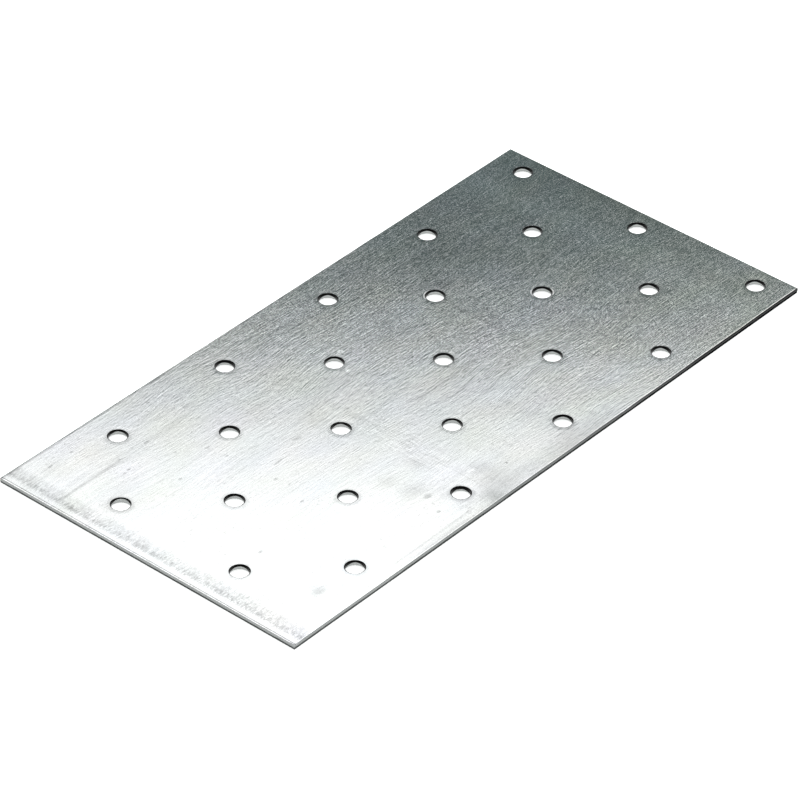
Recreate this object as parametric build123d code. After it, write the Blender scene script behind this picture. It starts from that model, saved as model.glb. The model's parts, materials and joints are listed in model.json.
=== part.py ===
from build123d import *
from math import sqrt
import os

# Mending plate: a flat perforated nailing plate that joins two timbers lying edge to edge or end to end.
#
# It is one piece of zinc-coated steel sheet. The holes are punched through the strip on a staggered square
# grid, one nail to a hole, and the strip is then sheared to length. Every cut edge, inside or outside, has
# the three bands that a punch or a shear blade leaves, from the top face down:
#
#     die roll   the corner that the blade pulls over before it bites
#     land       the straight, smooth band that the blade shaves
#     break-out  the rough lower band, where the sheet tears and leans back from the cut
#
# Frame: X along the length, Y across the width, Z up. The origin is the centre of the underside, the face
# that lies on the timber, so the top face is at THICKNESS. All sizes are in millimetres.

# The sheet
LENGTH = 199.0  # cut from nominal 200
WIDTH = 99.0  # cut from nominal 100
THICKNESS = 1.5

# The holes: a square grid, punched at every second crossing
HOLE_DIAMETER = 5.0  # passes a 4 mm anchor nail or a 5 mm screw
COLUMN_PITCH = 20.0  # along X
ROW_PITCH = 20.0  # along Y
END_MARGIN = 12.3  # from the end at low X to the first column's centres
SIDE_MARGIN = 9.0  # from the side at low Y to the first row's centres
EDGE_DISTANCE = 5.0  # the least that is left between a hole's centre and any cut edge

# The cut edges
END_ROLL = 0.35  # die roll along the two sheared ends
SIDE_ROLL = 0.2  # die roll along the two long sides
HOLE_ROLL = 0.2  # die roll round each hole
LAND = 0.5  # height of the straight band that runs down from the sheet's die roll
HOLE_LAND = 0.6  # height of the straight band in a hole
BREAK_OUT = 0.12  # how far the torn band leans back by the time it reaches the underside

PUNCH_OVERRUN = 1.0  # how far the punching tool stands past both faces


def grid_lines(start, pitch, end):
    """The places of the grid lines from start, a pitch apart, that stop short of end."""
    count = int((end - start) // pitch) + 1
    return [start + pitch * i for i in range(max(count, 0))]


def hole_centres():
    """Centres of the punched crossings: those whose column and row numbers add up to an odd number."""
    columns = grid_lines(END_MARGIN - LENGTH / 2, COLUMN_PITCH, LENGTH / 2 - EDGE_DISTANCE)
    rows = grid_lines(SIDE_MARGIN - WIDTH / 2, ROW_PITCH, WIDTH / 2 - EDGE_DISTANCE)
    return [(x, y) for i, x in enumerate(columns) for j, y in enumerate(rows) if (i + j) % 2 == 1]


def sheared_sheet():
    """The blank before it is punched, with die roll above and break-out below on all four sides."""
    sheet = Box(LENGTH, WIDTH, THICKNESS, align=(Align.CENTER, Align.CENTER, Align.MIN))

    underside = sheet.faces().sort_by(Axis.Z)[0]
    deepest_roll = max(END_ROLL, SIDE_ROLL)
    tear_height = THICKNESS - deepest_roll - LAND
    sheet = chamfer(underside.edges(), BREAK_OUT, tear_height, reference=underside)

    top = sheet.faces().sort_by(Axis.Z)[-1]
    ends = top.edges().filter_by(Axis.Y)
    sheet = fillet(ends, END_ROLL)
    top = sheet.faces().sort_by(Axis.Z)[-1]
    sides = top.edges().filter_by(Axis.X)
    return fillet(sides, SIDE_ROLL)


def punch():
    """The space that one punch stroke clears: a revolved half section, standing on the Z axis.

    Upwards from the underside it narrows over the break-out, is straight along the land, and opens again in
    the die roll, a quarter circle that is cut here as its two equal chords.
    """
    radius = HOLE_DIAMETER / 2
    roll_base = THICKNESS - HOLE_ROLL
    tear_top = roll_base - HOLE_LAND
    mid_roll = HOLE_ROLL * (1 - sqrt(0.5))  # how far the middle of the quarter circle is from wall and top
    with BuildPart() as tool:
        with BuildSketch(Plane.XZ):
            with BuildLine():
                Polyline(
                    (0, -PUNCH_OVERRUN),
                    (radius + BREAK_OUT, -PUNCH_OVERRUN),
                    (radius + BREAK_OUT, 0),
                    (radius, tear_top),
                    (radius, roll_base),
                    (radius + mid_roll, THICKNESS - mid_roll),
                    (radius + HOLE_ROLL, THICKNESS),
                    (radius + HOLE_ROLL, THICKNESS + PUNCH_OVERRUN),
                    (0, THICKNESS + PUNCH_OVERRUN),
                    close=True,
                )
            make_face()
        revolve(axis=Axis.Z)
    return tool.part


def mending_plate():
    """The whole plate: the sheared sheet, punched at every second grid crossing."""
    tool = punch()
    return sheared_sheet() - [Pos(x, y, 0) * tool for x, y in hole_centres()]


os.makedirs("parts", exist_ok=True)
plate = mending_plate()
export_step(plate, "parts/mending_plate.step")

print(f"holes {len(hole_centres())}, volume {plate.volume:.1f} mm3, size {plate.bounding_box().size}")
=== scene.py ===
# %% [markdown]
# # A mending plate, dressed for its picture
#
# The object is one punched steel sheet: a nailing plate of 199 x 99 x 1.5 mm with 25 nail holes.
# The CAD model already gives its size and its holes. This lesson adds what the eye reads as real sheet
# metal: the rolled, shaved and torn bands of every cut edge, and a zinc skin with a rolling grain.
#
# Everything is built in metres in the CAD model's own frame, so nothing is fitted afterwards.

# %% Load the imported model
import json

import bpy
import numpy as np
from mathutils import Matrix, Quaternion, Vector


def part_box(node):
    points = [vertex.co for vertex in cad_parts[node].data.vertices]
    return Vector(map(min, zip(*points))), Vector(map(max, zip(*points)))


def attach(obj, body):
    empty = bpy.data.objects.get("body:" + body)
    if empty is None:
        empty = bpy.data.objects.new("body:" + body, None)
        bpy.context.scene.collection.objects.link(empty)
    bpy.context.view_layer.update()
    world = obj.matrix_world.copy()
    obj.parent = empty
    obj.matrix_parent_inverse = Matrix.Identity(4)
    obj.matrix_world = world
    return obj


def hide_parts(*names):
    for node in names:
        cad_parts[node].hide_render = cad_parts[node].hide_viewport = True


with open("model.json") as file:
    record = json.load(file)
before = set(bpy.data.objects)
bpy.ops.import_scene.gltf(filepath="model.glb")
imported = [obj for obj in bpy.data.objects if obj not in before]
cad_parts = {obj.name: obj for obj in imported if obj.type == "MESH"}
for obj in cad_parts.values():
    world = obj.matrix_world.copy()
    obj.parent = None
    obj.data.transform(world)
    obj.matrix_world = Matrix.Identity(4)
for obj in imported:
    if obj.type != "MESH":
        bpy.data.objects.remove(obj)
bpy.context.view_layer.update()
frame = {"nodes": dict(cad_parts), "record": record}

MM = 0.001  # one millimetre in Blender's metres
NODE = "mending_plate"
print("CAD nodes:", sorted(frame["nodes"]))

# %% [markdown]
# ## Read the sizes from the model
#
# The sheet's size is the CAD node's box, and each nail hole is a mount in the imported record. Reading them
# here means that the dressed sheet follows the CAD model when one of its sizes changes.

# %% Sizes in millimetres
low, high = (np.array(corner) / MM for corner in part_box(NODE))
length, width, thickness = np.round(high - low, 3)
bores = [mount for mount in frame["record"]["mounts"] if mount["kind"] == "bore"]
hole_centres = np.round(np.array([mount["pos_m"][:2] for mount in bores]) / MM, 3)
hole_radius = bores[0]["dims"]["r_mm"]
print(f"sheet {length} x {width} x {thickness} mm, {len(bores)} holes of radius {hole_radius} mm")

# %% [markdown]
# ## The camera
#
# A long lens from well back, as for a catalogue picture: the plate's long sides hardly converge. The camera
# looks down on the sheet from over its near left corner.

# %% Place the camera
CAMERA_PLACE = Vector((-0.7895, -0.6705, 0.7646))
CAMERA_AIM = Vector((-0.00823, -0.00385, 0.0016))
CAMERA_ROLL = np.radians(0.82)
LENS, SENSOR = 225.2, 36.0  # focal length and sensor width in mm
NEAREST = 0.01  # metres: nothing nearer to the camera than this is drawn

camera_data = bpy.data.cameras.new("camera")
camera_data.lens = LENS
camera_data.sensor_width = SENSOR
camera_data.clip_start = NEAREST
camera = bpy.data.objects.new("camera", camera_data)
camera.location = CAMERA_PLACE
looking = (CAMERA_AIM - CAMERA_PLACE).to_track_quat("-Z", "Y")
camera.rotation_mode = "QUATERNION"
camera.rotation_quaternion = looking @ Quaternion((0, 0, 1), CAMERA_ROLL)
bpy.context.scene.collection.objects.link(camera)
bpy.context.scene.camera = camera
print("camera to plate:", round((CAMERA_AIM - CAMERA_PLACE).length, 3), "m")

# %% [markdown]
# ## The cut edges
#
# A punch or a shear blade leaves three bands down every cut: a die roll, where the top corner is pulled
# over; a straight shaved land; and a torn break-out that leans back to the underside. They are the only
# relief on the whole object, so they are worth real geometry. One profile serves the holes and the sides:
# it gives, for each level down the wall, how far the wall stands back from the cut line.

# %% The profile of a cut
HOLE_ROLL = 0.2  # die roll round a hole, across and down
SIDE_ROLL = 0.3  # die roll along the long sides
END_ROLL = 0.35  # die roll along the two ends
BREAK_OUT = 0.12  # how far the torn band leans back at the underside
SIDE_BREAK_OUT = 0.05  # the same on the long sides, which were slit rather than sheared
TEAR_TOP = 0.68  # height of the land's lower edge above the underside
ROLL_ROWS, LAND_ROWS, TEAR_ROWS = 6, 2, 5  # rows of faces down each band

down = np.concatenate([
    END_ROLL * (1 - np.cos(np.linspace(0, np.pi / 2, ROLL_ROWS + 1))),
    np.linspace(END_ROLL, thickness - TEAR_TOP, LAND_ROWS + 1)[1:],
    np.linspace(thickness - TEAR_TOP, thickness, TEAR_ROWS + 1)[1:],
])


def stand_back(down, roll, break_out=BREAK_OUT):
    """How far the wall stands back from the cut line, at a depth below the top face.

    In the roll it is a quarter circle, roll - sqrt(roll^2 - (roll - depth)^2). Then it is zero along the
    land, and it grows in proportion to the depth below the land.
    """
    in_roll = np.clip(roll - down, 0, roll)
    torn = np.clip((down - (thickness - TEAR_TOP)) / TEAR_TOP, 0, 1)
    return roll - np.sqrt(roll**2 - in_roll**2) + break_out * torn


print("profile levels:", len(down), "from", down[0], "to", round(down[-1], 3), "mm down")

# %% [markdown]
# Nothing that is sheared is quite even. A smooth random curve gives each cut its own wander: the width of
# the roll and the height of the land's lower edge vary along it. Slow and quick wanders added together make
# a ragged line.


# %% A smooth random curve that closes on itself
SEED = 7  # the same plate comes out each time
random = np.random.default_rng(SEED)


def wander(places, period, step):
    """Random heights from -1 to 1 about every step, joined by half cosines, repeating after period."""
    knots = max(int(round(period / step)), 3)
    heights = random.uniform(-1, 1, knots)
    along = np.mod(places / period, 1) * knots
    left = np.floor(along).astype(int) % knots
    blend = (1 - np.cos(np.pi * (along - np.floor(along)))) / 2
    return heights[left] * (1 - blend) + heights[(left + 1) % knots] * blend


def ragged(places, period, waves):
    """The sum of height * wander over waves, which are pairs of a height and a step."""
    return sum(height * wander(places, period, step) for height, step in waves)


# %% [markdown]
# ## Cells
#
# The sheet's two faces are cut into cells, one round each crossing of the hole grid. Half the cells have a
# hole. There the grid runs in rings from the hole's rim out to the cell's border; elsewhere it is a plain
# grid. Neighbours share their border points, so the whole skin closes without a gap.

# %% Cell borders
STEPS = 20  # grid steps along each side of a cell
BORDER = 1.2  # the strip round the sheet that belongs to the cut edges


def cell_lines(centres, half):
    """Grid lines for a row of cells that meet half-way between centres and end BORDER inside the sheet."""
    meet = (centres[1:] + centres[:-1]) / 2
    ends = np.concatenate([[BORDER - half], meet, [half - BORDER]])
    return [np.linspace(a, b, STEPS + 1) for a, b in zip(ends[:-1], ends[1:])]


columns = np.unique(hole_centres[:, 0])
rows = np.unique(hole_centres[:, 1])
column_lines = cell_lines(columns, length / 2)
row_lines = cell_lines(rows, width / 2)
print(len(columns), "columns and", len(rows), "rows of cells")


def loop_round(x, y):
    """The border of a grid as one loop of points, counter-clockwise from its lowest corner."""
    south = np.stack([x[:-1], np.full(len(x) - 1, y[0])], -1)
    east = np.stack([np.full(len(y) - 1, x[-1]), y[:-1]], -1)
    north = np.stack([x[:0:-1], np.full(len(x) - 1, y[-1])], -1)
    west = np.stack([np.full(len(y) - 1, x[0]), y[:0:-1]], -1)
    return np.concatenate([south, east, north, west])


# %% [markdown]
# ## Patches
#
# Every surface here is a patch: a grid of points, row by row. Each patch also carries two numbers for the
# material: the distance from the nearest hole's rim, and the depth at which the cut above it tears.

# %% The patch list
FAR_FROM_RIM = 10.0  # mm, for points that belong to no hole
patches = []


def add_patch(points, rim, tear, closed, turned):
    """Keep a grid of points, shape (rows, along, 3). closed joins the last column to the first."""
    grid = np.arange(points.shape[0] * points.shape[1]).reshape(points.shape[:2])
    if closed:
        grid = np.concatenate([grid, grid[:, :1]], 1)
    quads = np.stack([grid[:-1, :-1], grid[:-1, 1:], grid[1:, 1:], grid[1:, :-1]], -1).reshape(-1, 4)
    numbers = np.stack([np.broadcast_to(rim, points.shape[:2]), np.broadcast_to(tear, points.shape[:2])], -1)
    patches.append((points.reshape(-1, 3), numbers.reshape(-1, 2), quads[:, ::-1] if turned else quads))


def plain_cell(x, y, height):
    """A flat grid over one cell at a height."""
    gx, gy = np.meshgrid(x, y)
    return np.stack([gx, gy, np.full_like(gx, height)], -1)


FACE_RINGS, UNDER_RINGS = 9, 5
RING_CROWDING = 1.8  # more rings near the hole
FIRST_RING = 0.006  # share of the way to the border: it holds the flat face's shading off the roll


def ringed_cell(centre, rim_points, border, height, rings):
    """Rings from a hole's rim to its cell's border.

    A point is (1 - s) times the rim point plus s times the border point, with s = t ** crowding. The
    second result is each point's distance from the rim.
    """
    s = np.concatenate([[0, FIRST_RING], (np.arange(1, rings + 1) / rings) ** RING_CROWDING])[:, None, None]
    flat = (1 - s) * rim_points[None, :, :2] + s * border[None]
    flat[-1] = border
    away = np.linalg.norm(flat - centre, axis=-1)
    return np.concatenate([flat, np.full_like(flat[..., :1], height)], -1), away - away[0]


# %% [markdown]
# ## Hole walls
#
# A hole's wall is the cut profile carried round a circle: a point is the centre plus (radius + stand-back)
# times the direction of its angle. The roll's width wanders, the tear starts at a wandering height, and
# the torn band is roughened a few hundredths of a millimetre. The tear starts deeper on the two sides of a
# hole that lie across the camera's line of sight than on the other two, so the painted shade of the dark
# land reaches further down there. No two punches are equally sharp either, so each hole has its own depth
# of tear as well.

# %% Build one hole's wall
AROUND = 4 * STEPS
angles = -3 * np.pi / 4 + 2 * np.pi * np.arange(AROUND) / AROUND
directions = np.stack([np.cos(angles), np.sin(angles)], -1)
TEAR_ROUGHNESS = 0.025
HOLE_TEAR, TEAR_SPREAD = 0.90, 0.08  # depth at which a hole's wall tears, and how that differs by hole
TEAR_LOBE, LOBE_ANGLE = 0.32, np.radians(131)  # how much deeper it tears at this angle and opposite it
TEAR_SLOPE = -0.0006  # by how much the tear's depth changes for each mm along the plate
TEAR_SHIFTS = {(-27.2, -40.5): 0.3, (-87.2, 19.5): -0.3}  # one hole shaved deeper and one less deep
TEAR_LIMITS = 0.25, 1.38  # every tear starts below the roll and above the underside
ROLL_VARIES, ROLL_STEP = 0.25, 0.2  # share by which the roll's width wanders, and share of a turn to a step
HOLE_RAGGED = [(0.06, 0.08), (0.03, 0.03)]  # the ragged tear: mm up and down, and share of a turn to a step
hole_down = np.where(down < END_ROLL, down * HOLE_ROLL / END_ROLL, down)


def hole_wall(centre, tear_shift):
    """The wall's points, shape (levels, around, 3), from the face down, and the depth of its tear.

    The tear's depth is a mean, plus the lobe times the cosine of twice the angle from the lobe's axis, plus
    this hole's own shift and some wander.
    """
    turn = np.arange(AROUND) / AROUND
    roll_width = 1 + ROLL_VARIES * wander(turn, 1, ROLL_STEP)
    uneven = ragged(turn, 1, HOLE_RAGGED)
    lobe = TEAR_LOBE * np.cos(2 * (angles - LOBE_ANGLE))
    tear = HOLE_TEAR + lobe + tear_shift + TEAR_SPREAD * random.uniform(-1, 1) + uneven
    tear = np.clip(tear, *TEAR_LIMITS)
    level = hole_down[:, None]
    in_roll = level < HOLE_ROLL
    back = np.where(in_roll, stand_back(level, HOLE_ROLL) * roll_width, 0)
    torn = np.clip((level - tear) / (thickness - tear), 0, 1)
    rough = TEAR_ROUGHNESS * random.uniform(0, 1, torn.shape) * (torn > 0) * (torn < 1)
    flat = centre + (hole_radius + back + BREAK_OUT * torn + rough)[..., None] * directions
    z = np.broadcast_to(thickness - level, torn.shape)
    return np.concatenate([flat, z[..., None]], -1), tear


def over_cells():
    """Each cell's grid lines and, where it has one, its hole's centre."""
    punched = {tuple(c) for c in hole_centres}
    for i, x in enumerate(column_lines):
        for j, y in enumerate(row_lines):
            centre = (columns[i], rows[j])
            yield x, y, np.array(centre) if centre in punched else None


for x, y, centre in over_cells():
    if centre is None:
        add_patch(plain_cell(x, y, thickness), FAR_FROM_RIM, HOLE_TEAR, closed=False, turned=False)
        add_patch(plain_cell(x, y, 0.0), FAR_FROM_RIM, HOLE_TEAR, closed=False, turned=True)
        continue
    tear_shift = TEAR_SLOPE * centre[0] + TEAR_SHIFTS.get(tuple(centre), 0.0)
    wall, tear = hole_wall(centre, tear_shift)
    border = loop_round(x, y)
    top, top_rim = ringed_cell(centre, wall[0], border, thickness, FACE_RINGS)
    under, under_rim = ringed_cell(centre, wall[-1], border, 0.0, UNDER_RINGS)
    add_patch(top, top_rim, HOLE_TEAR, closed=True, turned=True)
    add_patch(under, under_rim, HOLE_TEAR, closed=True, turned=False)
    add_patch(wall, 0.0, tear, closed=True, turned=False)
print("patches after the holes:", len(patches))

# %% [markdown]
# ## The four sides
#
# The outer cut is the same profile carried round the rectangle. On a long side the stand-back moves a
# point across the width, on an end along the length, and at a corner both ways, which mitres the two.

# %% Build the outer edge
border_x = np.unique(np.concatenate(column_lines))
border_y = np.unique(np.concatenate(row_lines))
border = loop_round(border_x, border_y)
on_end = np.where(np.isclose(np.abs(border[:, 0]), length / 2 - BORDER), np.sign(border[:, 0]), 0)
on_side = np.where(np.isclose(np.abs(border[:, 1]), width / 2 - BORDER), np.sign(border[:, 1]), 0)
steps_along = np.linalg.norm(np.roll(border, -1, 0) - border, axis=1)
along = np.concatenate([[0], np.cumsum(steps_along)[:-1]])
round_length = steps_along.sum()

EDGE_ROLL_VARIES, EDGE_ROLL_STEP = 0.3, 6  # share by which the roll's width wanders, and mm to a step
EDGE_STRAY, STRAY_STEP = 0.02, 15  # how far the shear line strays inwards, and mm to a step
EDGE_TEAR = 0.82  # depth at which the sheared sides tear
EDGE_RAGGED = [(0.08, 4), (0.04, 1.2)]  # the ragged tear: mm up and down, and mm to a step
STRIP_GUARD = 0.05  # mm inside the roll, a row that holds the flat face's shading off it

roll_width = 1 + EDGE_ROLL_VARIES * wander(along, round_length, EDGE_ROLL_STEP)
stray = EDGE_STRAY * (1 + wander(along, round_length, STRAY_STEP)) / 2
torn = np.clip((down - (thickness - TEAR_TOP)) / TEAR_TOP, 0, 1)[:, None]
rough = TEAR_ROUGHNESS * random.uniform(0, 1, (len(down), len(border))) * (torn > 0) * (torn < 1)
in_roll = (down < END_ROLL)[:, None]


def edge_back(roll, break_out):
    """Stand-back for every level and every column of the outline."""
    back = stand_back(down, roll, break_out)[:, None]
    return np.where(in_roll, back * roll_width, back) + stray + rough


back_end, back_side = edge_back(END_ROLL, BREAK_OUT), edge_back(SIDE_ROLL, SIDE_BREAK_OUT)


def ring_of(end_back, side_back, level):
    """Rows of points round the outline, stood back by these distances from the cut line, at these levels."""
    x = np.where(on_end == 0, border[:, 0], on_end * (length / 2 - end_back))
    y = np.where(on_side == 0, border[:, 1], on_side * (width / 2 - side_back))
    return np.stack([x, y, np.broadcast_to(level, x.shape)], -1)


cut = ring_of(back_end, back_side, (thickness - down)[:, None])
guard = ring_of(back_end[:1] + STRIP_GUARD, back_side[:1] + STRIP_GUARD, thickness)
under_guard = ring_of(back_end[-1:] + STRIP_GUARD, back_side[-1:] + STRIP_GUARD, 0.0)
top_border = np.concatenate([border, np.full((len(border), 1), thickness)], 1)[None]
under_border = np.concatenate([border, np.zeros((len(border), 1))], 1)[None]
outline = np.concatenate([top_border, guard, cut, under_guard, under_border])
edge_tear = EDGE_TEAR + ragged(along, round_length, EDGE_RAGGED)
add_patch(outline, FAR_FROM_RIM, edge_tear, closed=True, turned=True)
print("outline columns:", len(border), "length", round(round_length, 1), "mm")

# %% [markdown]
# ## Weld the patches into one mesh
#
# Points that two patches share are the same to the last digit, so rounding and np.unique weld them. The
# numbers then go into the mesh in whole arrays.

# %% Make the mesh
SHARP_ANGLE = np.radians(50)  # faces that meet more steeply than this have a hard edge between them


def weld(patches):
    """One list of points, numbers and quads from all patches, with shared points merged."""
    starts = np.cumsum([0] + [len(p[0]) for p in patches[:-1]])
    points = np.concatenate([p[0] for p in patches])
    numbers = np.concatenate([p[1] for p in patches])
    quads = np.concatenate([p[2] + s for p, s in zip(patches, starts)])
    _, first, place = np.unique(np.round(points, 5), axis=0, return_index=True, return_inverse=True)
    return points[first], numbers[first], place.reshape(-1)[quads]


points, numbers, quads = weld(patches[::-1])
mesh = bpy.data.meshes.new("punched_sheet")
mesh.from_pydata(points * MM, [], quads)
for name, values in zip(["rim_distance", "tear_depth"], numbers.T):
    mesh.attributes.new(name, "FLOAT", "POINT").data.foreach_set("value", values.astype(np.float32))
mesh.shade_smooth()
mesh.set_sharp_from_angle(angle=SHARP_ANGLE)
mesh.validate()
sheet = bpy.data.objects.new("punched_sheet", mesh)
bpy.context.scene.collection.objects.link(sheet)
print("sheet:", len(points), "points,", len(quads), "quads")

# %% [markdown]
# ## Colours and nodes
#
# Colours are written as the eye sees them, in sRGB hex, and one function turns them into the linear values
# that the shaders use. One more function adds a node of any kind, with its settings and links. Two bundles
# of settings come up again and again: a range with soft ends, and a mix of two colours.

# %% Two helpers for materials
SMOOTH = {"interpolation_type": "SMOOTHSTEP"}  # makes a Map Range have soft ends
BLEND = {"output": 2, "data_type": "RGBA"}  # makes a Mix take two colours
FIRST, SECOND = 6, 7  # the sockets of those two colours


def linear(hex_colour):
    """sRGB hex to linear RGBA: c / 12.92 below 0.04045, and ((c + 0.055) / 1.055) ** 2.4 above."""
    srgb = np.array([int(hex_colour[i:i + 2], 16) for i in (1, 3, 5)]) / 255
    rgb = np.where(srgb <= 0.04045, srgb / 12.92, ((srgb + 0.055) / 1.055) ** 2.4)
    return (*rgb, 1.0)


def add_node(tree, kind, *values, output=0, named=None, **settings):
    """Add a node and give one of its outputs. Its inputs, in order or named, are linked or set."""
    node = tree.nodes.new("ShaderNode" + kind)
    for name, value in settings.items():
        setattr(node, name, value)
    for name, value in [*enumerate(values), *(named or {}).items()]:
        if isinstance(value, bpy.types.NodeSocket):
            tree.links.new(value, node.inputs[name])
        else:
            node.inputs[name].default_value = value
    return node.outputs[output]


# %% [markdown]
# ## Patterns in millimetres
#
# The sheet is hot-dip galvanised steel. Every pattern of its zinc is noise with a real size: the sheet's own
# place, in millimetres, is divided by the size of one cell of the pattern, so the numbers below can be read
# off a real plate with a ruler. Noise from 0 to 1 is stretched to about -1 to 1, so that a pattern adds as
# much as it takes away, and patterns are added up with a weight each.

# %% Start the material and its patterns
steel = bpy.data.materials.new("galvanised_steel_sheet")
steel.use_nodes = True
tree = steel.node_tree
shader = tree.nodes["Principled BSDF"]
object_place = add_node(tree, "TexCoord", output="Object")
place = add_node(tree, "VectorMath", object_place, (1 / MM,) * 3, operation="MULTIPLY")
place_x, place_y, place_z = add_node(tree, "SeparateXYZ", place).node.outputs


def pattern(source, cell, detail=0.0):
    """4 * noise - 2, about -1 to 1, whose cells have this size in mm along X, Y and Z."""
    scaled = add_node(tree, "Mapping", source, named={"Scale": tuple(1 / size for size in cell)})
    noise = add_node(tree, "TexNoise", scaled, named={"Scale": 1, "Detail": detail})
    return add_node(tree, "Math", noise, 4.0, -2.0, operation="MULTIPLY_ADD")


def total(*parts):
    """The sum of weight * pattern over the parts."""
    level = 0.0
    for weight, part in parts:
        level = add_node(tree, "Math", part, weight, level, operation="MULTIPLY_ADD")
    return level


# %% [markdown]
# ## The grain of the zinc
#
# After its bath the strip runs through skin-pass rolls, and their ground surface prints a fine grain along
# the strip: short streaks under half a millimetre wide, which wave a little, with a grit between them.
# Streaks are mostly relief, which shows where the sheet mirrors the edge of a light. The grit is mostly
# uneven gloss: a duller grain of zinc catches some of the light that its glossy neighbours miss. Real grit
# is a few hundredths of a millimetre across, and here it is drawn as coarse as it needs to show. One broad
# belt, aslant across the sheet, was rolled a little coarser than the rest, and the relief fades towards
# both ends, where many hands and the shear's clamp have smoothed it.

# %% Grain
WAVE_SIZE, WAVE_HEIGHT = 34.0, 1.5  # the streaks' slow wave: mm between turns, and mm to a side
STREAK = (6.0, 0.44, 4.0)  # one streak
HAIR = (2.2, 0.38, 2.0)  # finer, shorter streaks
DRIFT = (40.0, 1.3, 20.0)  # long faint drifts
GRIT = (0.28, 0.28, 0.28)
CLOUD = (20.0, 9.0, 10.0)  # soft clouds
FAINT_LEFT, FAINT_RIGHT = 0.35, 0.75  # share of the relief that is left towards the two ends
LEFT_FADE, RIGHT_FADE = (-80.0, 5.0), (30.0, 85.0)  # where it fades towards them
BELT_SLANT = 0.71  # the belt's place is x plus this times y
BELT_NEAR, BELT_FAR = (-2.0, 26.0), (68.0, 38.0)  # places where it starts and is full, at either side
BELT_RELIEF, BELT_GRIT, BELT_SHADE = 0.12, 0.12, -0.05  # what it adds to relief, grit and tone; the darker tone is painted shade
TONE_STREAK, TONE_HAIR, TONE_DRIFT, TONE_GRIT, TONE_CLOUD = 0.04, 0.06, 0.05, 0.13, 0.04
RELIEF_STREAK, RELIEF_HAIR, RELIEF_DRIFT, RELIEF_GRIT = 1.80, 2.40, 0.15, 0.30  # thousandths of a mm
ROUGH_STREAK, ROUGH_HAIR, ROUGH_GRIT = 0.012, 0.016, 0.045

wave = pattern(place, (WAVE_SIZE,) * 3)
bent_y = add_node(tree, "Math", wave, WAVE_HEIGHT, place_y, operation="MULTIPLY_ADD")
grain_place = add_node(tree, "CombineXYZ", place_x, bent_y, place_z)
streak = pattern(grain_place, STREAK, detail=1)
hair = pattern(grain_place, HAIR, detail=1)
drift = pattern(grain_place, DRIFT, detail=1)
grit = pattern(place, GRIT)
cloud = pattern(place, CLOUD, detail=2)
belt_place = add_node(tree, "Math", place_y, BELT_SLANT, place_x, operation="MULTIPLY_ADD")
belt_opening = add_node(tree, "MapRange", belt_place, *BELT_NEAR, **SMOOTH)
belt_closing = add_node(tree, "MapRange", belt_place, *BELT_FAR, **SMOOTH)
belt = add_node(tree, "Math", belt_opening, belt_closing, operation="MULTIPLY")
belt_grit = add_node(tree, "Math", belt, grit, operation="MULTIPLY")
grain_tone = total(
    (TONE_STREAK, streak), (TONE_HAIR, hair), (TONE_DRIFT, drift), (TONE_GRIT, grit), (TONE_CLOUD, cloud),
    (BELT_GRIT, belt_grit), (BELT_SHADE, belt),
)
grain_roughness = total((ROUGH_STREAK, streak), (ROUGH_HAIR, hair), (ROUGH_GRIT, grit))
grain_relief = total((RELIEF_STREAK, streak), (RELIEF_HAIR, hair), (RELIEF_DRIFT, drift), (RELIEF_GRIT, grit))
left_share = add_node(tree, "MapRange", belt_place, *LEFT_FADE, FAINT_LEFT, 1.0)
right_share = add_node(tree, "MapRange", place_x, *RIGHT_FADE, 1.0, FAINT_RIGHT)
grain_relief = add_node(tree, "Math", grain_relief, left_share, operation="MULTIPLY")
grain_relief = add_node(tree, "Math", grain_relief, right_share, operation="MULTIPLY")
belt_share = add_node(tree, "Math", belt, BELT_RELIEF, 1.0, operation="MULTIPLY_ADD")
grain_relief = add_node(tree, "Math", grain_relief, belt_share, operation="MULTIPLY")
print("grain: streaks", STREAK[1], "mm wide, grit", GRIT[0], "mm across")

# %% [markdown]
# ## Marks of its making and handling, and painted light and shade
#
# The plate is new stock, so its marks are slight: faint cross lines where the rolls stopped, one long curved
# scratch, a few rubbed and dark specks, a patch rubbed across the grain, soft patches, a dark line along the
# left end, and a band of smudges along the end that was clamped in the shear. Some of this is painted light
# and shade rather than marks: part of the soft patches, one broad light band near the right end, and the
# shade round every hole's rim. Each mark is a mask over the sheet's own place, and it lightens or darkens the
# zinc by a small share. Three shapes of mask are enough: a spot, a line, and a stretch of a line.


# %% Shapes for the marks
def spot(x, y, half_length, half_width, core=0.4):
    """1 inside the core of an ellipse on the face, which is this share of it, falling to 0 at its border."""
    size = (1 / half_length, 1 / half_width, 0)
    shift = (-x / half_length, -y / half_width, 0)
    inside = add_node(tree, "VectorMath", place, size, shift, operation="MULTIPLY_ADD")
    reach = add_node(tree, "VectorMath", inside, output="Value", operation="LENGTH")
    return add_node(tree, "MapRange", reach, 1.0, core, **SMOOTH)


def line(value, middle, half_width):
    """1 where a value is at the middle of the line, falling to 0 a half width away."""
    off = add_node(tree, "Math", value, middle, operation="SUBTRACT")
    distance = add_node(tree, "Math", off, operation="ABSOLUTE")
    return add_node(tree, "MapRange", distance, half_width, 0.0, **SMOOTH)


def between(value, start, end, fade):
    """1 from start to end, with a fade at both."""
    opening = add_node(tree, "MapRange", value, start, start + fade, **SMOOTH)
    closing = add_node(tree, "MapRange", value, end, end - fade, **SMOOTH)
    return add_node(tree, "Math", opening, closing, operation="MULTIPLY")


# %% [markdown]
# The marks are kept as tables of places, sizes and strengths, all in millimetres. A strength above zero
# lightens the zinc and one below zero darkens it.

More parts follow.
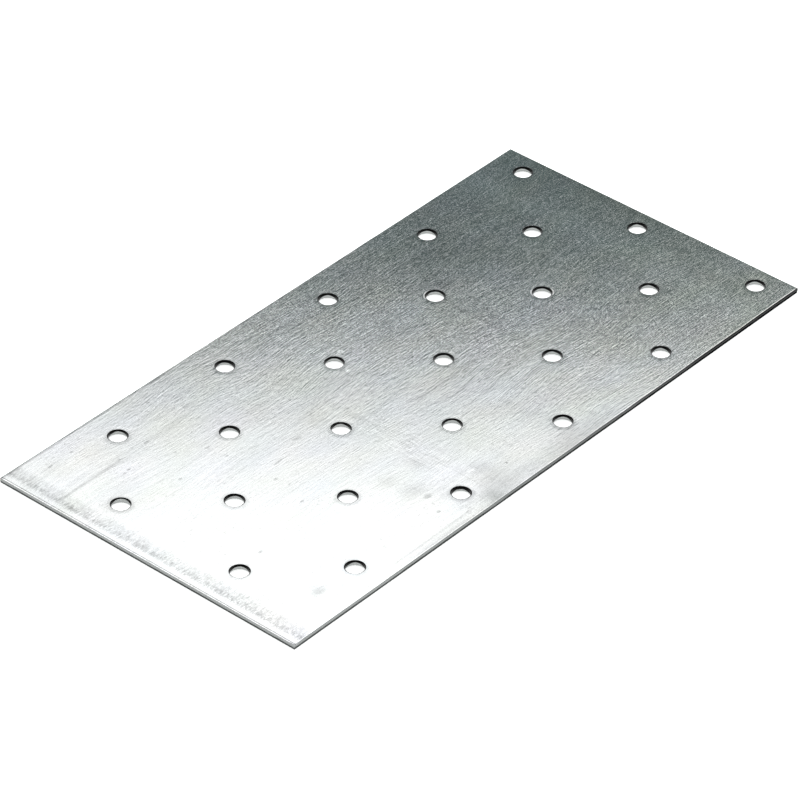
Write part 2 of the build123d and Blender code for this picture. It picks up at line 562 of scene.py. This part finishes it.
# %% Tables of the marks
CROSS_LINES = [  # place along the plate, half width, lowest and highest y, strength
    (-21.9, 0.22, 4.0, 49.0, -0.07),
    (-25.2, 0.7, -48.0, -4.0, -0.05),
    (-21.4, 0.3, -48.0, 2.0, -0.08),
    (-20.6, 1.4, -38.0, 12.0, -0.06),
    (-17.6, 0.35, -46.0, -6.0, -0.05),
    (32.7, 1.6, -14.0, 20.0, -0.10),
    (35.0, 0.8, -28.0, 10.0, 0.04),
    # painted light: a broad lighter band across the right end
    (82.0, 8.0, -50.0, 52.0, 0.11),
]
ALONG_LINES = [  # place across the plate, half width, lowest and highest x, strength
    (31.9, 0.8, -98.0, -72.0, -0.20),
    (32.4, 2.0, -98.0, -48.0, -0.08),
    (-7.0, 1.1, -8.0, 20.0, -0.16),
    (-12.2, 0.8, 3.0, 13.0, -0.16),
    (-3.6, 2.0, -16.0, -6.0, 0.06),
    (-46.9, 0.7, -62.0, -28.0, -0.16),
    (49.0, 0.8, -102.0, -35.0, -0.36),
    (49.0, 0.7, -47.0, 17.0, -0.10),
]
SPECKS = [  # place, half length, half width, strength
    (-2.5, 21.6, 1.3, 1.1, 0.22), (-7.5, 14.7, 0.9, 0.8, 0.28), (-5.7, 15.9, 0.4, 0.4, 0.25),
    (-7.0, 24.0, 2.2, 0.9, 0.10), (58.7, 38.5, 1.6, 0.9, 0.14), (-8.1, 44.7, 0.35, 0.35, -0.45),
    (22.5, -14.6, 0.4, 0.35, -0.30), (-10.2, -41.1, 0.4, 0.4, -0.50), (95.4, 22.0, 0.4, 0.4, -0.35),
    (-17.0, -36.8, 0.5, 1.0, -0.14), (-31.0, -34.0, 6.0, 5.0, -0.05),
    (-87.9, 43.2, 1.1, 0.5, -0.30), (-75.5, 27.8, 1.0, 0.5, -0.30), (-64.4, 32.1, 1.3, 0.6, -0.25),
    (-55.6, 19.2, 1.0, 0.5, -0.30), (-48.2, 1.9, 2.2, 0.5, -0.30), (-53.9, -2.4, 1.0, 0.6, -0.28),
    (-80.0, 43.4, 0.8, 0.5, -0.28), (-52.0, 43.7, 0.7, 0.5, -0.28), (-55.0, 13.2, 0.8, 0.5, -0.25),
    (-69.9, 15.5, 0.8, 0.5, -0.25), (-55.1, 25.6, 0.8, 0.5, -0.20), (-62.6, 24.0, 0.6, 0.6, -0.20),
    (-56.3, -13.3, 0.9, 0.5, -0.32), (-78.2, -19.2, 1.0, 0.6, -0.34), (-37.7, 5.2, 2.0, 0.8, -0.14),
    (-45.6, 38.4, 2.6, 0.5, -0.18), (-45.2, 34.9, 3.9, 0.7, -0.14), (-33.9, -35.3, 1.6, 1.1, -0.25),
    (-36.8, -41.3, 0.9, 0.7, -0.30), (-77.4, 27.4, 0.8, 0.5, -0.20),
]
PATCHES_AND_PAINTED_LIGHT = [  # soft patches, part dirt and handling marks and part painted light and shade over the sheet's reflection: place, half length, half width, strength
    (-22.0, -51.0, 11.0, 9.0, -0.30), (6.0, -50.0, 32.0, 9.0, -0.24), (-60.0, -50.5, 34.0, 4.0, -0.06),
    (-35.0, -31.0, 6.0, 4.5, -0.16), (-37.5, 4.7, 4.0, 2.0, -0.07), (-98.0, 35.0, 4.0, 12.0, -0.08),
    (36.0, 25.5, 12.0, 5.0, -0.09), (38.0, -38.0, 8.0, 9.0, 0.08), (11.0, -21.0, 8.0, 4.0, 0.07),
    (100.0, 20.0, 7.5, 45.0, -0.12), (28.0, 41.0, 10.0, 4.0, -0.05),
    (50.0, 34.0, 36.0, 26.0, -0.16), (-86.0, 22.0, 14.0, 12.0, -0.12), (-94.0, 20.5, 3.5, 5.5, 0.12),
    (-17.0, -44.0, 8.5, 9.0, -0.24), (-42.0, -50.5, 26.0, 4.5, -0.34), (66.0, 10.5, 4.5, 4.0, -0.13),
    (35.0, 1.0, 4.0, 14.0, -0.08), (71.0, 38.0, 3.0, 7.0, -0.09), (9.0, -32.0, 6.0, 6.0, -0.08),
    (97.0, -21.0, 3.0, 8.0, -0.10), (91.5, -28.0, 4.0, 8.0, 0.15), (62.5, 32.0, 5.0, 5.0, 0.16),
    (88.0, -14.0, 4.0, 8.0, 0.13), (-9.0, 18.0, 7.0, 6.0, 0.09), (24.0, -18.0, 13.0, 4.0, 0.09),
    (33.0, -31.0, 10.0, 4.0, 0.12), (-29.0, 7.0, 6.0, 5.0, -0.10), (37.5, 21.0, 4.0, 3.5, -0.24),
    (95.0, -36.0, 8.0, 18.0, 0.10), (-88.0, 34.5, 10.0, 3.0, -0.08), (81.0, 42.0, 7.0, 16.0, 0.08),
    (-23.0, -47.5, 4.0, 4.5, -0.20), (62.0, 2.5, 5.0, 7.0, 0.07), (-25.0, -24.0, 5.0, 6.0, -0.12),
    (-14.0, -39.0, 5.0, 4.0, -0.10), (11.0, -41.0, 7.0, 7.0, -0.10),
    (-97.0, 28.0, 2.5, 4.0, -0.14), (-9.0, -46.0, 8.0, 6.0, -0.10), (36.0, 6.0, 6.0, 10.0, -0.07),
    (-29.0, -42.0, 6.0, 8.0, -0.14), (30.0, 28.5, 5.0, 6.0, -0.08), (15.0, 18.5, 4.0, 5.0, -0.08),
    (28.7, 9.7, 6.0, 5.0, -0.06), (-88.0, 41.0, 7.0, 7.0, -0.07), (-36.0, -24.0, 4.0, 4.0, -0.12),
    (-24.0, -44.6, 5.0, 4.0, -0.08), (-16.0, -36.5, 4.0, 4.0, -0.12), (-9.0, -39.0, 4.0, 5.0, -0.08),
    (8.7, -25.0, 5.0, 4.0, -0.07), (12.5, -35.0, 5.0, 5.0, -0.05), (53.7, -35.0, 4.0, 4.0, -0.07),
    (77.5, -35.0, 4.0, 6.0, -0.06), (5.0, 2.0, 6.0, 4.0, 0.06), (-13.7, 22.0, 6.0, 6.0, 0.06),
    (88.7, -8.0, 4.0, 6.0, 0.08), (12.5, -15.0, 8.0, 3.0, 0.05), (-80.0, -39.8, 3.8, 3.2, -0.30),
]
print("marks:", len(CROSS_LINES) + len(ALONG_LINES), "lines,", len(SPECKS), "specks,", len(PATCHES_AND_PAINTED_LIGHT), "shades")

# %% [markdown]
# The clamped end, the arc scratch and the scuffed patches are more than a plain spot or line. Each is such a
# mask times a pattern, so that it breaks up as a real rub does, or a line bent into an arc: the scratch is
# where the distance from the arc's centre is the arc's radius.

# %% Sizes of the end's smudges, the scratch and the scuffs
CLAMPED_END = -float(length) / 2
END_LINE_PLACE, END_LINE_HALF = 0.46, 0.34  # a dark line along the left end: mm in from the end, and half width
SMEAR = (1.3, 0.42, 1.0)  # one smear of the smudges
SMEAR_RANGE, SMEAR_CORE_RANGE = (-1.7, 0.9), (-0.8, 0.8)  # levels of the pattern from none to full
SMUDGE_BAND, SMUDGE_CORE_BAND = (0.7, 7.6, 2.5), (1.7, 4.6, 1.1)  # start, end and fade, in from the end
SCRATCH_CENTRE, SCRATCH_RADIUS, SCRATCH_HALF = (-85.6, -59.6, float(thickness)), 85.65, 0.2
SCRATCH_REACH = (-41.0, -1.0, 5.0)  # lowest and highest y, and fade
RUBBED, RUBBED_CELL, RUBBED_RANGE = (21.5, 24.3, 6.0, 4.5), (1.3, 1.0, 1.0), (0.2, 0.9)
SCUFF, SCUFF_CELL, SCUFF_RANGE = (87.5, -29.0, 2.2, 7.0), (0.9, 1.8, 1.0), (0.0, 0.9)
CROSSED, CROSSED_CELL = (-21.5, -16.0, 6.5, 24.0), (0.40, 2.6, 4.0)  # a patch rubbed across the grain
SPATTER, SPATTER_RANGE = (1.5, 0.45, 0.5), (0.55, 0.95)  # short dark dashes
SPATTER_CLOUD, CLOUD_RANGE = (9.0, 6.0, 5.0), (-0.1, 0.7)  # the patches that the dashes keep to
RIM_SHADE = (1.3, 0.1)  # mm from a hole's rim where its shade starts and is full
LINE_FADE = 4.0  # mm over which a line fades at its ends
TOP_FADE = (0.3, 0.1)  # mm below the top face where the marks start and are full

# %% The smudges, the scratch and the scuffs
from_end = add_node(tree, "Math", place_x, CLAMPED_END, operation="SUBTRACT")
end_smears = pattern(place, SMEAR, detail=2)
smear = add_node(tree, "MapRange", end_smears, *SMEAR_RANGE, **SMOOTH)
smear_core = add_node(tree, "MapRange", end_smears, *SMEAR_CORE_RANGE, **SMOOTH)
smudge = add_node(tree, "Math", between(from_end, *SMUDGE_BAND), smear, operation="MULTIPLY")
smudge_core = add_node(tree, "Math", between(from_end, *SMUDGE_CORE_BAND), smear_core, operation="MULTIPLY")
sweep = add_node(tree, "VectorMath", place, SCRATCH_CENTRE, output="Value", operation="DISTANCE")
scratched = between(place_y, *SCRATCH_REACH)
scratch_arc = line(sweep, SCRATCH_RADIUS, SCRATCH_HALF)
scratch = add_node(tree, "Math", scratch_arc, scratched, operation="MULTIPLY")
rubbing = add_node(tree, "MapRange", pattern(place, RUBBED_CELL, detail=2), *RUBBED_RANGE, **SMOOTH)
rubbed = add_node(tree, "Math", spot(*RUBBED), rubbing, operation="MULTIPLY")
scuffing = add_node(tree, "MapRange", pattern(place, SCUFF_CELL, detail=2), *SCUFF_RANGE, **SMOOTH)
scuff = add_node(tree, "Math", spot(*SCUFF), scuffing, operation="MULTIPLY")
crossed = add_node(tree, "Math", spot(*CROSSED), pattern(place, CROSSED_CELL), operation="MULTIPLY")
spots = add_node(tree, "MapRange", pattern(place, SPATTER), *SPATTER_RANGE, **SMOOTH)
spattered = add_node(tree, "MapRange", pattern(place, SPATTER_CLOUD), *CLOUD_RANGE, **SMOOTH)
spatter = add_node(tree, "Math", spots, spattered, operation="MULTIPLY")
rim_distance = add_node(tree, "Attribute", output="Fac", attribute_name="rim_distance")
rim_shade = add_node(tree, "MapRange", rim_distance, *RIM_SHADE, **SMOOTH)
end_line = line(from_end, END_LINE_PLACE, END_LINE_HALF)

# %% Add up the marks
marks = total(  # strength and mask of each
    (-0.60, end_line), (-0.25, smudge), (-0.22, smudge_core), (-0.10, scratch),
    (0.22, rubbed), (-0.14, scuff), (-0.16, spatter), (-0.18, rim_shade), (0.09, crossed),
)
for lines, across, along_it in ((CROSS_LINES, place_x, place_y), (ALONG_LINES, place_y, place_x)):
    for middle, half_width, lowest, highest, strength in lines:
        reach = between(along_it, lowest, highest, LINE_FADE)
        mask = add_node(tree, "Math", line(across, middle, half_width), reach, operation="MULTIPLY")
        marks = add_node(tree, "Math", mask, strength, marks, operation="MULTIPLY_ADD")
for x, y, half_length, half_width, strength in SPECKS:
    mask = spot(x, y, half_length, half_width)
    marks = add_node(tree, "Math", mask, strength, marks, operation="MULTIPLY_ADD")
# soft patches: part marks, part painted light and shade
for x, y, half_length, half_width, strength in PATCHES_AND_PAINTED_LIGHT:
    mask = spot(x, y, half_length, half_width, core=0.0)
    marks = add_node(tree, "Math", mask, strength, marks, operation="MULTIPLY_ADD")
top_start, top_full = (thickness - fade for fade in TOP_FADE)
on_top = add_node(tree, "MapRange", place_z, top_start, top_full, **SMOOTH)
marks = add_node(tree, "Math", marks, on_top, operation="MULTIPLY")
print("nodes so far:", len(tree.nodes))

# %% [markdown]
# ## Cut faces
# A cut shows bare steel, not zinc. The shaved land is smooth and dark, and in a hole it is painted nearly
# black: painted shade, for the dark that the wall mirrors. The torn band below it is grey and matt in a hole.
# On the sheared sides it is darker, and the whole cut there is blended from a lit colour at one end of the
# plate to a shaded colour at the other: painted light and shade. The zinc is drawn over the top of the die
# roll, furthest at the left end, and towards the shaded end it gives way to steel sooner: painted shade that
# narrows the roll's highlight.

# %% Masks of the cut faces
GRADIENT_SLANT = -0.8  # a place's position along the slant of the side shading and the tint corner is x plus this times y
EDGE_SHADING_RANGE = (-20.0, 100.0)  # painted shade: where the sheared sides start to be shaded, and where they are darkest
ROLL_SHADE_GAIN = 2.1  # painted shade: how much sooner the zinc ends down the roll towards the shaded end, which narrows its highlight
LEFT_DRAWN, LEFT_FROM, LEFT_FULL = -0.15, 3.0, 1.0  # extra mm of zinc at the left end, and where it starts
ZINC_ENDS = (0.02, 0.07)  # depths between which the zinc gives way to bare steel
UNDERSIDE_FADE = (0.0, 0.01)  # the same above the underside
TEAR_BLEND = (-0.04, 0.06)  # the same from land to tear, either side of the tear's depth
HOLE_WALL = (0.08, 0.01)  # mm from a hole's rim where its wall starts and is full

gradient_place = add_node(tree, "Math", place_y, GRADIENT_SLANT, place_x, operation="MULTIPLY_ADD")
# painted shade: 0 where the sheared sides are lit, 1 where they are shaded
shaded = add_node(tree, "MapRange", gradient_place, *EDGE_SHADING_RANGE)
roll_shade_factor = add_node(tree, "Math", shaded, ROLL_SHADE_GAIN, 1.0, operation="MULTIPLY_ADD")
depth = add_node(tree, "Math", float(thickness), place_z, operation="SUBTRACT")
left_end = add_node(tree, "MapRange", from_end, LEFT_FROM, LEFT_FULL, **SMOOTH)
roll_shaded_depth = add_node(tree, "Math", depth, roll_shade_factor, operation="MULTIPLY")
bare_depth = add_node(tree, "Math", left_end, LEFT_DRAWN, roll_shaded_depth, operation="MULTIPLY_ADD")
off_face = add_node(tree, "MapRange", bare_depth, *ZINC_ENDS, **SMOOTH)
off_underside = add_node(tree, "MapRange", place_z, *UNDERSIDE_FADE, **SMOOTH)
tear_depth = add_node(tree, "Attribute", output="Fac", attribute_name="tear_depth")
below_tear = add_node(tree, "Math", depth, tear_depth, operation="SUBTRACT")
torn_mask = add_node(tree, "MapRange", below_tear, *TEAR_BLEND, **SMOOTH)
in_hole = add_node(tree, "MapRange", rim_distance, *HOLE_WALL, **SMOOTH)
side_cut = add_node(tree, "Math", off_face, off_underside, operation="MULTIPLY")
cut_mask = add_node(tree, "Math", in_hole, side_cut, operation="MAXIMUM")
print("a side is bare below", ZINC_ENDS[1], "mm, or sooner where it is dull")

# %% [markdown]
# Two of the punches were worn, and rubbed the zinc beside their holes matt. A matt rim gathers light from
# all round, so it shows as a bright arc where the glossy sheet beside it mirrors the dim room.

# %% Worn rims
WORN_RIMS = [  # place and size of a spot over the rim
    (31.4, 21.6, 2.6, 2.6), (51.4, 0.9, 2.2, 2.2), (54.6, -2.2, 1.8, 1.8),
]
WORN_BAND = (0.55, 0.25)  # mm from the rim where the wear starts and is full
WORN_ROUGHNESS = 0.35

worn = add_node(tree, "MapRange", rim_distance, *WORN_BAND, **SMOOTH)
worn_spots = total(*((1.0, spot(*worn_rim)) for worn_rim in WORN_RIMS))
worn = add_node(tree, "Math", worn, worn_spots, operation="MULTIPLY")
print("worn spots:", len(WORN_RIMS))

# %% [markdown]
# ## Tint
#
# Fresh zinc is a neutral grey. Where it has begun to tarnish it turns a little blue or green in soft patches.

# %% Tint of the zinc
TINT_PATCH = (18.0, 12.0, 15.0)
ELSEWHERE = (50.0, 70.0, 0.0)  # mm aside, so that the second pattern differs from the first
WARMTH, COOLNESS = 0.018, 0.034  # share of red and of blue that the patches add or take
CORNER_RANGE, CORNER_GREEN = (50.0, 130.0), -0.04  # the near right corner, and the share of blue there

warm = pattern(place, TINT_PATCH, detail=1)
cool_place = add_node(tree, "VectorMath", place, ELSEWHERE, operation="ADD")
cool = pattern(cool_place, TINT_PATCH, detail=1)
corner = add_node(tree, "MapRange", gradient_place, *CORNER_RANGE, **SMOOTH)
red = add_node(tree, "Math", warm, WARMTH, 1.0, operation="MULTIPLY_ADD")
blue = add_node(tree, "Math", total((COOLNESS, cool), (CORNER_GREEN, corner)), 1.0, operation="ADD")
tint = add_node(tree, "CombineXYZ", red, 1.0, blue)
print("tint varies by", WARMTH, "in red and", COOLNESS, "in blue")

# %% [markdown]
# ## Colour, gloss and relief
#
# Now the parts go together. The zinc's grey is its tint times one plus the grain and the marks, and the cut
# faces are blended in over it. Rolled zinc is a fairly good mirror, so its roughness is low and the metal
# shows the room. Bare cut steel scatters more. The punch also draws the sheet down a little round each hole,
# which is far too shallow for the mesh, so it joins the grain in the bump.

# %% Colours and finish
ZINC = "#c4c4c4"
# painted shade: a hole's shaved land is coloured nearly black, for the dark that the wall mirrors; the torn
# band below keeps the grey of steel
HOLE_LAND_SHADE, HOLE_TORN = "#0a0a0a", "#aeb0af"
# painted light and shade: the sheared sides' land and torn band each have a lit and a shaded colour, blended
# along the plate
EDGE_LAND_LIT, EDGE_LAND_SHADED = "#929493", "#222323"
EDGE_TORN_LIT, EDGE_TORN_SHADED = "#5a5c5b", "#040404"
TORN_SHADE_TINT, PLAIN_TINT = "#303030", "#ffffff"  # painted shade: the torn band of the sides mirrors dark at grazing angles, for the shadow at the sheet's foot

tone = add_node(tree, "Math", grain_tone, marks, operation="ADD")
tone = add_node(tree, "Math", tone, 1.0, operation="ADD")
tinted = add_node(tree, "VectorMath", tint, linear(ZINC)[:3], operation="MULTIPLY")
zinc = add_node(tree, "VectorMath", tinted, named={"Scale": tone}, operation="SCALE")
wall_colours = {FIRST: linear(HOLE_LAND_SHADE), SECOND: linear(HOLE_TORN)}
hole_cut = add_node(tree, "Mix", torn_mask, named=wall_colours, **BLEND)
land_colours = {FIRST: linear(EDGE_LAND_LIT), SECOND: linear(EDGE_LAND_SHADED)}
edge_land = add_node(tree, "Mix", shaded, named=land_colours, **BLEND)
torn_colours = {FIRST: linear(EDGE_TORN_LIT), SECOND: linear(EDGE_TORN_SHADED)}
edge_torn = add_node(tree, "Mix", shaded, named=torn_colours, **BLEND)
edge_cut = add_node(tree, "Mix", torn_mask, named={FIRST: edge_land, SECOND: edge_torn}, **BLEND)
cut_colour = add_node(tree, "Mix", in_hole, named={FIRST: edge_cut, SECOND: hole_cut}, **BLEND)
colour = add_node(tree, "Mix", cut_mask, named={FIRST: zinc, SECOND: cut_colour}, **BLEND)

# %% Gloss and relief
ZINC_ROUGHNESS, SMOOTHEST, CUT_ROUGHNESS = 0.10, 0.05, 0.45
DISH_REACH, DISH_DEPTH = 1.4, 5.0  # the dish round a hole: mm out, and thousandths of a mm down
RELIEF_UNIT = MM * MM  # a thousandth of a millimetre, in metres

zinc_roughness = add_node(tree, "Math", worn, WORN_ROUGHNESS, grain_roughness, operation="MULTIPLY_ADD")
zinc_roughness = add_node(tree, "Math", zinc_roughness, ZINC_ROUGHNESS, operation="ADD")
zinc_roughness = add_node(tree, "Math", zinc_roughness, SMOOTHEST, operation="MAXIMUM")
cut_share = add_node(tree, "Math", cut_mask, CUT_ROUGHNESS, operation="MULTIPLY")
roughness = add_node(tree, "Math", zinc_roughness, cut_share, operation="MAXIMUM")
dish = add_node(tree, "MapRange", rim_distance, DISH_REACH, 0.0, **SMOOTH)
relief = add_node(tree, "Math", dish, -DISH_DEPTH, grain_relief, operation="MULTIPLY_ADD")
bump_inputs = {"Height": relief, "Strength": 1.0, "Distance": RELIEF_UNIT}
bump = add_node(tree, "Bump", named=bump_inputs)

# painted shade: the torn band of the outer sides gets a dark specular tint, so its grazing reflections go
# dark
shaded_torn_side = add_node(tree, "Math", torn_mask, side_cut, operation="MULTIPLY")
shaded_torn_side = add_node(tree, "Math", shaded_torn_side, in_hole, operation="SUBTRACT", use_clamp=True)
edge_tints = {FIRST: linear(PLAIN_TINT), SECOND: linear(TORN_SHADE_TINT)}
shaded_edge_tint = add_node(tree, "Mix", shaded_torn_side, named=edge_tints, **BLEND)

# %% Link the material
shader.inputs["Metallic"].default_value = 1
tree.links.new(shaded_edge_tint, shader.inputs["Specular Tint"])
tree.links.new(colour, shader.inputs["Base Color"])
tree.links.new(roughness, shader.inputs["Roughness"])
tree.links.new(bump, shader.inputs["Normal"])
mesh.materials.append(steel)
print("material:", steel.name, "with", len(tree.nodes), "nodes")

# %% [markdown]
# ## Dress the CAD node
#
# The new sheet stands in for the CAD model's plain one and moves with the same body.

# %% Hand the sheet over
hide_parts(NODE)
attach(sheet, "root")

# %% [markdown]
# ## The floor and the light
#
# The floor is a light table of opal acrylic: plain, nearly white and matt. It glows, and lights the cut
# edges from below.

# %% Floor
FLOOR_HALF = 6.0  # metres
FLOOR_GLOW = 0.5
corners = [(-1, -1, 0), (1, -1, 0), (1, 1, 0), (-1, 1, 0)]
floor_mesh = bpy.data.meshes.new("floor")
floor_mesh.from_pydata(np.array(corners) * FLOOR_HALF, [], [(0, 1, 2, 3)])
floor = bpy.data.objects.new("floor", floor_mesh)
bpy.context.scene.collection.objects.link(floor)
opal = bpy.data.materials.new("opal_acrylic")
opal.use_nodes = True
opal_inputs = opal.node_tree.nodes["Principled BSDF"].inputs
opal_inputs["Base Color"].default_value = linear("#f4f5f4")
opal_inputs["Roughness"].default_value = 0.9  # ground matt, so that it mirrors nothing
opal_inputs["Specular IOR Level"].default_value = 0.0
opal_inputs["Emission Color"].default_value = linear("#ffffff")
opal_inputs["Emission Strength"].default_value = FLOOR_GLOW
floor_mesh.materials.append(opal)
print("floor:", 2 * FLOOR_HALF, "m square")

# %% [markdown]
# Bare metal shows what it reflects, so the light is one large soft panel, placed where the sheet mirrors its
# edge: the near left half of the plate mirrors the panel and the far right end mirrors a dim corner of the
# room. The panel is layers that end at different heights, so its lower edge fades. Two smaller panels flank
# it and light the rolled rims.

# %% Light
PANEL_AZIMUTH = 41.0  # degrees from +X towards +Y
PANEL_TOP = 66.0  # degrees above the floor
PANEL_EDGES = [(35.5, 0.5), (36.4, 0.6), (37.35, 0.57), (38.45, 0.35)]  # lower edge in degrees, radiance
PANEL_DISTANCE, PANEL_WIDTH = 3.0, 5.0  # metres
SIDE_PANELS = [(108.0, 1.1), (-26.0, 0.9)]  # azimuth and radiance of the two that flank it
SIDE_LOW, SIDE_WIDTH = 35.0, 2.6  # their lower edge in degrees, and width in metres


def softbox(name, azimuth, low, high, distance, width, radiance):
    """A flat glowing panel that faces the plate and spans an elevation range, as the plate sees it."""
    middle, spread, turn = np.radians([(low + high) / 2, (high - low) / 2, azimuth])
    toward = np.array([np.cos(middle) * np.cos(turn), np.cos(middle) * np.sin(turn), np.sin(middle)])
    data = bpy.data.lights.new(name, "AREA")
    data.shape = "RECTANGLE"
    data.size = width
    data.size_y = 2 * distance * np.tan(spread)
    data.energy = radiance * np.pi * data.size * data.size_y
    light = bpy.data.objects.new(name, data)
    light.location = distance * toward
    light.rotation_mode = "QUATERNION"
    light.rotation_quaternion = Vector(-toward).to_track_quat("-Z", "Y")
    light.visible_camera = False
    bpy.context.scene.collection.objects.link(light)


for number, (low, radiance) in enumerate(PANEL_EDGES):
    softbox(f"softbox_layer_{number}", PANEL_AZIMUTH, low, PANEL_TOP, PANEL_DISTANCE, PANEL_WIDTH, radiance)
for number, (azimuth, radiance) in enumerate(SIDE_PANELS):
    softbox(f"side_softbox_{number}", azimuth, SIDE_LOW, PANEL_TOP, PANEL_DISTANCE, SIDE_WIDTH, radiance)
print("panels:", len(PANEL_EDGES), "layers and", len(SIDE_PANELS), "at the sides")

# %% [markdown]
# The rest of the room is a pale tent, brighter overhead, so the sheet looks like bright metal from every
# other side too. Only the corner that the far right end mirrors is dim.

# %% The room
TENT_LOW, TENT_HIGH = "#a2a6a6", "#f9fcfc"
TENT_FROM, TENT_TO = -0.1, 0.9  # how far a direction points up where the tent is darkest and brightest
DIM_CORNER = "#6c7b7a"  # a little green
DIM_TURN, DIM_HEIGHT = np.radians([41.0, 29.0])  # where the dim corner is, seen from the plate
DIM_INNER, DIM_OUTER = np.radians([13.0, 30.0])  # how wide it is, and how far out its fade reaches

world = bpy.data.worlds.new("room")
world.use_nodes = True
room = world.node_tree
dim_level = np.cos(DIM_HEIGHT)
dim_way = (dim_level * np.cos(DIM_TURN), dim_level * np.sin(DIM_TURN), np.sin(DIM_HEIGHT))
way = add_node(room, "TexCoord", output="Generated")
way_up = add_node(room, "SeparateXYZ", way, output="Z")
up = add_node(room, "MapRange", way_up, TENT_FROM, TENT_TO)
tent = add_node(room, "Mix", up, named={FIRST: linear(TENT_LOW), SECOND: linear(TENT_HIGH)}, **BLEND)
nearness = add_node(room, "VectorMath", way, dim_way, output="Value", operation="DOT_PRODUCT")
dim = add_node(room, "MapRange", nearness, np.cos(DIM_OUTER), np.cos(DIM_INNER), **SMOOTH)
glow = add_node(room, "Mix", dim, named={FIRST: tent, SECOND: linear(DIM_CORNER)}, **BLEND)
room.links.new(glow, room.nodes["Background"].inputs["Color"])
bpy.context.scene.world = world
bpy.context.scene.view_settings.view_transform = "Standard"
print("dim corner:", 2 * round(np.degrees(DIM_INNER)), "degrees wide")
